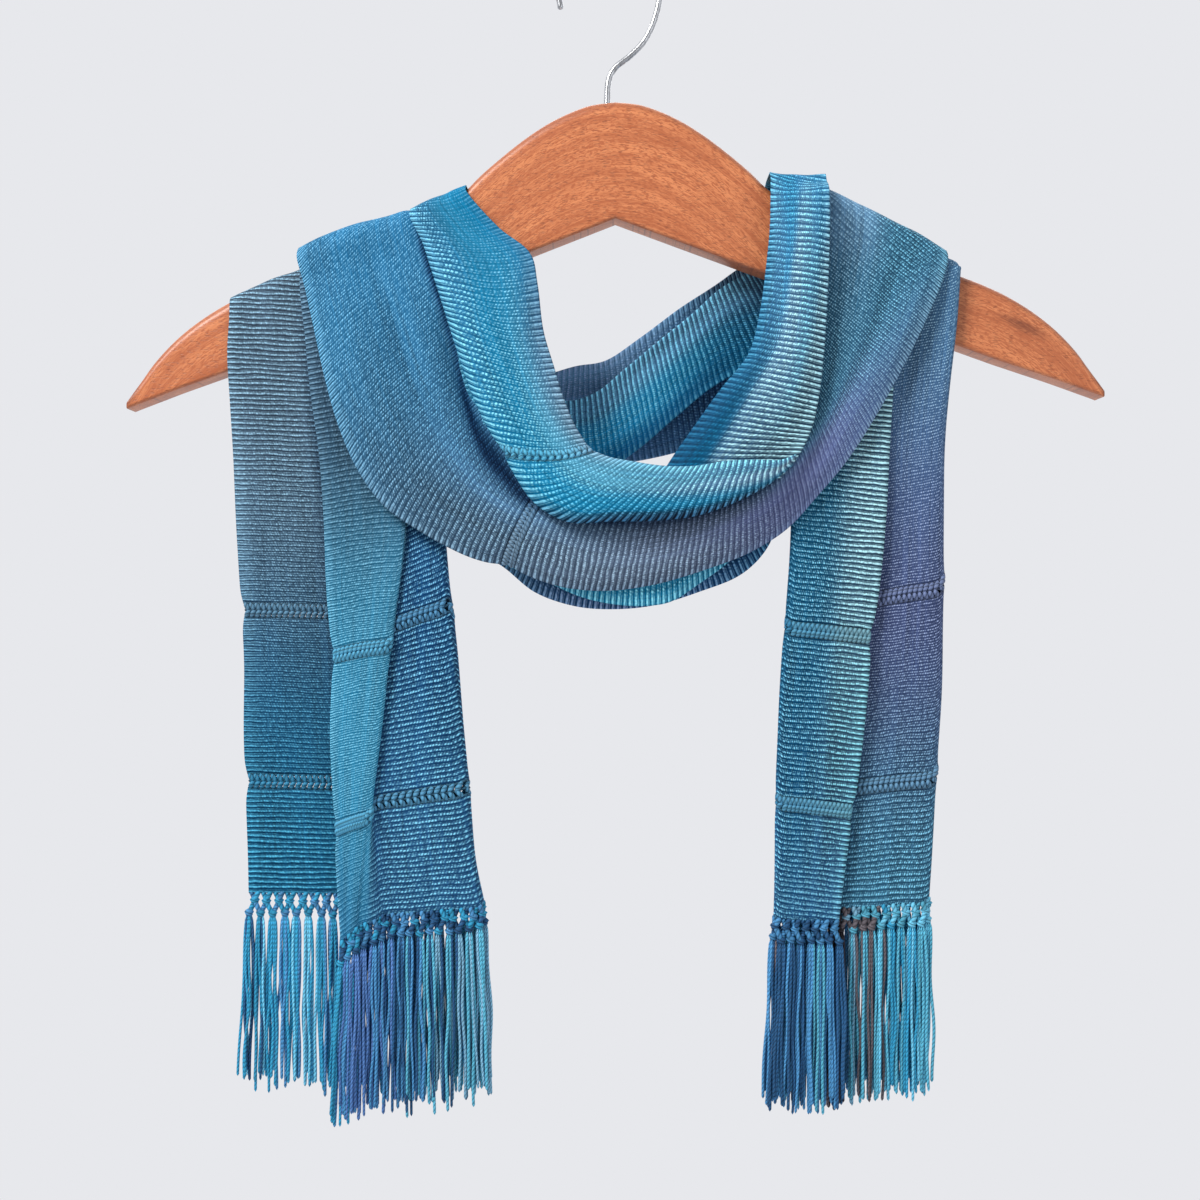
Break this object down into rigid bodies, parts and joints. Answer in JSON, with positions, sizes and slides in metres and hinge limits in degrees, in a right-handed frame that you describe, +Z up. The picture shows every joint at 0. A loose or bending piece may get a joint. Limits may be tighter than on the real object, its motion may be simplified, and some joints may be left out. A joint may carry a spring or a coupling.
{
  "type": "wrap scarf",
  "caption": "Long open-work woven scarf with knotted fringes, wound as a cowl over a wooden hanger, its fringed ends hanging in front.",
  "frame": {"origin": "seat of the hook on its rail, at the top of the round hook, in the middle plane of the hanger", "axes": "+Z up, +X to the right of a viewer in front, -Y towards that viewer"},
  "size_m": [0.4472, 0.0733, 0.5375],
  "materials": {
    "leg_left": "semi-matte woven, turquoise and slate",
    "leg_right": "semi-matte woven, blue, slate and purple",
    "loop_outer": "semi-matte woven, teal, slate and purple",
    "loop_inner": "semi-matte woven, bright turquoise",
    "strap_right": "semi-matte woven, blue and slate",
    "underfold_near": "semi-matte woven, turquoise",
    "underfold_far": "semi-matte woven, slate navy",
    "back_loop_near": "semi-matte woven, blue and turquoise",
    "back_loop_far": "semi-matte woven, dark navy",
    "fringe_left_back": "twisted yarn, turquoise and blue",
    "fringe_left_front": "twisted yarn, turquoise, purple-blue and slate",
    "fringe_right_back": "twisted yarn, black-brown, teal and turquoise",
    "fringe_right_front": "twisted yarn, blue",
    "hanger_body": "satin, reddish brown",
    "hanger_hook": "bright wire"
  },
  "bodies": {
    "root": {"leg_left": "leg_left", "leg_right": "leg_right", "loop_outer": "loop_outer", "loop_inner": "loop_inner", "strap_right": "strap_right", "underfold_near": "underfold_near", "underfold_far": "underfold_far", "back_loop_near": "back_loop_near", "back_loop_far": "back_loop_far", "fringe_left_back": "fringe_left_back", "fringe_left_front": "fringe_left_front", "fringe_right_back": "fringe_right_back", "fringe_right_front": "fringe_right_front", "hanger_body": "hanger_body", "hanger_hook": "hanger_hook"}
  },
  "joints": []
}
